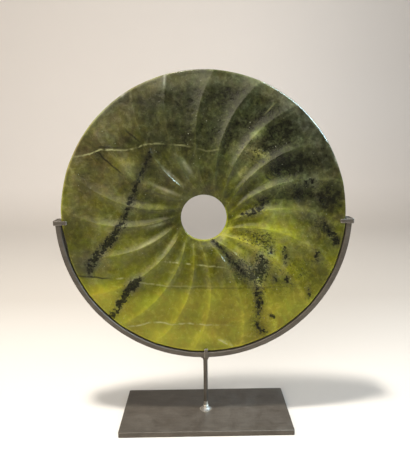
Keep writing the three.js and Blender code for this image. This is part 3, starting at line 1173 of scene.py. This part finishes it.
def steel_finish():
    """Waxed black steel: mill scale in patches, drawn lines, worn edges, a bare foot partly painted light.
    """
    scale_stops = [
        (0.15, (0.052, 0.043, 0.033)),
        (0.45, (0.080, 0.067, 0.052)),
        (0.85, (0.128, 0.108, 0.084)),
    ]
    worn_edge = (0.34, 0.31, 0.27)
    ground_steel = (0.62, 0.58, 0.51)

    f = Finish("waxed_steel")
    mm = f.millimetres()
    scale = f.noise(mm, 16.0, detail=4.0, rough=0.6, twist=0.4)
    speckle = f.noise(mm, 1.6, rough=0.6)
    drawn = f.noise(f.vector("MULTIPLY", mm, (0.06, 1.6, 0.5)), 1.3, rough=0.6)
    tone = f.raised(f.raised(-0.35, scale, 0.8), drawn, 0.45)
    colour = f.ramp(f.raised(tone, speckle, 0.3), scale_stops)
    corner = f.add("ShaderNodeNewGeometry").outputs["Pointiness"]
    worn = f.times(f.span(corner, 0.515, 0.60), f.span(speckle, 0.30, 0.62))
    colour = f.cover(colour, worn, 0.75, worn_edge)
    # The foot: bare metal, and painted light below the disc's shadow.
    ground = bare_foot_and_painted_light(f, mm, scale, speckle)
    f.surface("Base Color", f.cover(colour, ground, 0.9, ground_steel))

    bare = f.math("MAXIMUM", ground, f.times(worn, 0.7))
    f.surface("Metallic", f.span(bare, 0.0, 1.0, 0.30, 0.95))
    rough = f.span(scale, 0.3, 0.7, 0.42, 0.56)
    f.surface("Roughness", f.raised(rough, bare, -0.16))
    f.surface("Specular IOR Level", 0.3)
    f.bump(f.math("ADD", f.times(speckle, 0.5), drawn), 0.00008)
    return f


def weld_finish():
    """Weld metal, straw and blue-grey where heat has tinted it.

    The foot bead is bare, and dull only at its toe. The bead under the cradle is waxed
    like the rest of the steel.
    """
    heat_stops = [
        (0.30, (0.20, 0.18, 0.17)),
        (0.46, (0.52, 0.47, 0.40)),
        (0.60, (0.66, 0.62, 0.56)),
        (0.74, (0.36, 0.31, 0.24)),
    ]
    dark_toe = (0.10, 0.085, 0.068)
    wax = (0.11, 0.092, 0.072)

    f = Finish("weld_metal")
    mm = f.millimetres()
    heat = f.noise(mm, 3.0, rough=0.6, twist=0.5)
    grit = f.noise(mm, 0.8, rough=0.6)
    ragged = f.raised(f.from_stem(mm), grit, 1.6)
    toe = f.span(ragged, STEM_R + 1.5, STEM_R + 2.6)
    waxed = f.span(f.parts(mm)["Z"], 50.0, 60.0)
    colour = f.cover(f.ramp(heat, heat_stops), toe, 0.85, dark_toe)
    f.surface("Base Color", f.mix(waxed, colour, wax))
    dull = f.math("MAXIMUM", toe, waxed)
    f.surface("Metallic", f.raised(0.95, dull, -0.55))
    rough = f.span(grit, 0.3, 0.7, 0.30, 0.46)
    f.surface("Roughness", f.raised(rough, dull, 0.2))
    f.bump(f.math("ADD", grit, heat), 0.00015)
    return f


# ---- Studio ----
#
# Its sizes and places are metres.


def studio_floor():
    """A floor that sweeps up behind into a backdrop: a flat, a quarter circle and a wall."""
    front, back, bend, top, half_width = -3.0, 1.1, 0.7, 2.6, 4.0
    turn = np.linspace(0.0, math.pi / 2, 24)
    y = np.concatenate([[front], back + bend * np.sin(turn), [back + bend]])
    z = np.concatenate([[0.0], bend - bend * np.cos(turn), [top]])
    sweep = [(x, a, b) for x in (-half_width, half_width) for a, b in zip(y, z)]
    count = len(y)
    faces = [(i, i + 1, count + i + 1, count + i) for i in range(count - 1)]
    mesh = bpy.data.meshes.new("studio_floor")
    mesh.from_pydata(sweep, [], faces)
    mesh.polygons.foreach_set("use_smooth", [True] * len(faces))
    floor = in_scene("studio_floor", mesh)
    studio_paint().on(floor)


def studio_paint():
    """Matt paint: dim in front, pale under the object, darker behind it, pale again above.

    A soft patch of shade lies on it low behind the disc, and it darkens to the right.
    """
    dim, pale, shade = (0.26, 0.25, 0.24), (0.68, 0.66, 0.63), (0.26, 0.245, 0.23)
    near_wall, wall, far = (0.56, 0.52, 0.475), (0.64, 0.595, 0.55), (0.75, 0.70, 0.66)
    stops = [
        (0.08, dim), (0.30, pale), (0.43, pale), (0.56, near_wall), (0.90, wall), (1.0, far),
    ]
    f = Finish("studio_paint")
    side, depth, height = f.parts(f.place)
    colour = f.ramp(f.span(depth, -1.0, 1.5, smooth=False), stops)
    behind = f.span(f.math("ABSOLUTE", side), 0.15, 0.50, 0.62, 0.0)
    behind = f.times(behind, f.span(depth, 0.60, 1.00))
    behind = f.times(behind, f.span(height, 0.12, 0.40, 1.0, 0.0))
    rightward = f.span(side, 0.1, 1.2, 0.0, 0.35)
    colour = f.mix(f.math("MAXIMUM", behind, rightward), colour, shade)
    f.surface("Base Color", colour)
    f.surface("Roughness", 0.75)
    return f


def studio_sky():
    """A pale warm light from all round."""
    world = bpy.data.worlds.new("studio_sky")
    bpy.context.scene.world = world
    world.use_nodes = True
    sky = world.node_tree.nodes["Background"]
    sky.inputs["Color"].default_value = (1.0, 0.94, 0.86, 1.0)
    sky.inputs["Strength"].default_value = 0.34


def lamp(name, place, target, size, power, colour):
    """A soft rectangular lamp, turned to face the target."""
    data = bpy.data.lights.new(name, "AREA")
    data.shape = "RECTANGLE"
    data.size, data.size_y = size
    data.energy = power
    data.color = colour
    light = in_scene(name, data)
    light.location = place
    light.rotation_euler = (Vector(target) - Vector(place)).to_track_quat("-Z", "Y").to_euler()
    return light


def studio_lamps():
    """A small lamp overhead, two soft ones at the front left, and a blue window's glint.

    The window lights nothing. It only shows in what is polished.
    """
    warm, blue = (1.0, 0.95, 0.87), (0.55, 0.80, 1.0)
    lamp("overhead", (-0.25, -0.24, 1.55), (0.0, 0.0, 0.1), (0.14, 0.14), 27.0, warm)
    lamp("front_left", (-0.80, -1.45, 1.15), (0.0, 0.0, 0.2), (0.8, 0.8), 5.0, warm)
    lamp("bright_wall", (-0.85, -2.1, 1.45), (0.0, 0.0, 0.25), (2.4, 1.7), 45.0, warm)
    window = lamp(
        "side_window", (1.30, -0.22, 1.30), (0.1, 0.0, 0.33), (0.9, 0.9), 220.0, blue
    )
    window.visible_diffuse = False


def camera():
    """A hand-held view, a little above the disc's centre, looking down at it."""
    data = bpy.data.cameras.new("camera")
    data.sensor_width = 36.0
    data.lens = 34.27
    data.clip_start = 0.01
    view = in_scene("camera", data)
    place = Vector((-0.0036, -0.4678, DISC_Z * MM + 0.0771))
    pitch, yaw, roll = math.radians(-11.36), math.radians(-0.57), math.radians(0.61)
    turn = (
        Matrix.Rotation(yaw, 4, "Z")
        @ Matrix.Rotation(math.pi / 2 + pitch, 4, "X")
        @ Matrix.Rotation(-roll, 4, "Z")
    )
    view.matrix_world = Matrix.Translation(place) @ turn
    bpy.context.scene.camera = view


# ---- Assembly ----

disc = carved_disc()
plate = foot_plate()
bar = bent_bar()
stem = round_stem()
clips = [
    strip_clip("left_rim_clip", "left_clip", SIDEWAYS, UPWARD),
    strip_clip("right_rim_clip", "right_clip", -SIDEWAYS, UPWARD),
    strip_clip("bottom_rim_clip", "bottom_clip", UPWARD, SIDEWAYS),
]
welds = [
    weld_bead("foot_weld_bead", "foot_weld", True, 7),
    weld_bead("cradle_weld_bead", "cradle_weld", False, 5),
]

jade_finish().on(disc)
steel = steel_finish()
for piece in (plate, bar, stem, *clips):
    steel.on(piece)
weld = weld_finish()
for piece in welds:
    weld.on(piece)

studio_floor()
studio_sky()
studio_lamps()
camera()
bpy.context.scene.view_settings.view_transform = "Standard"
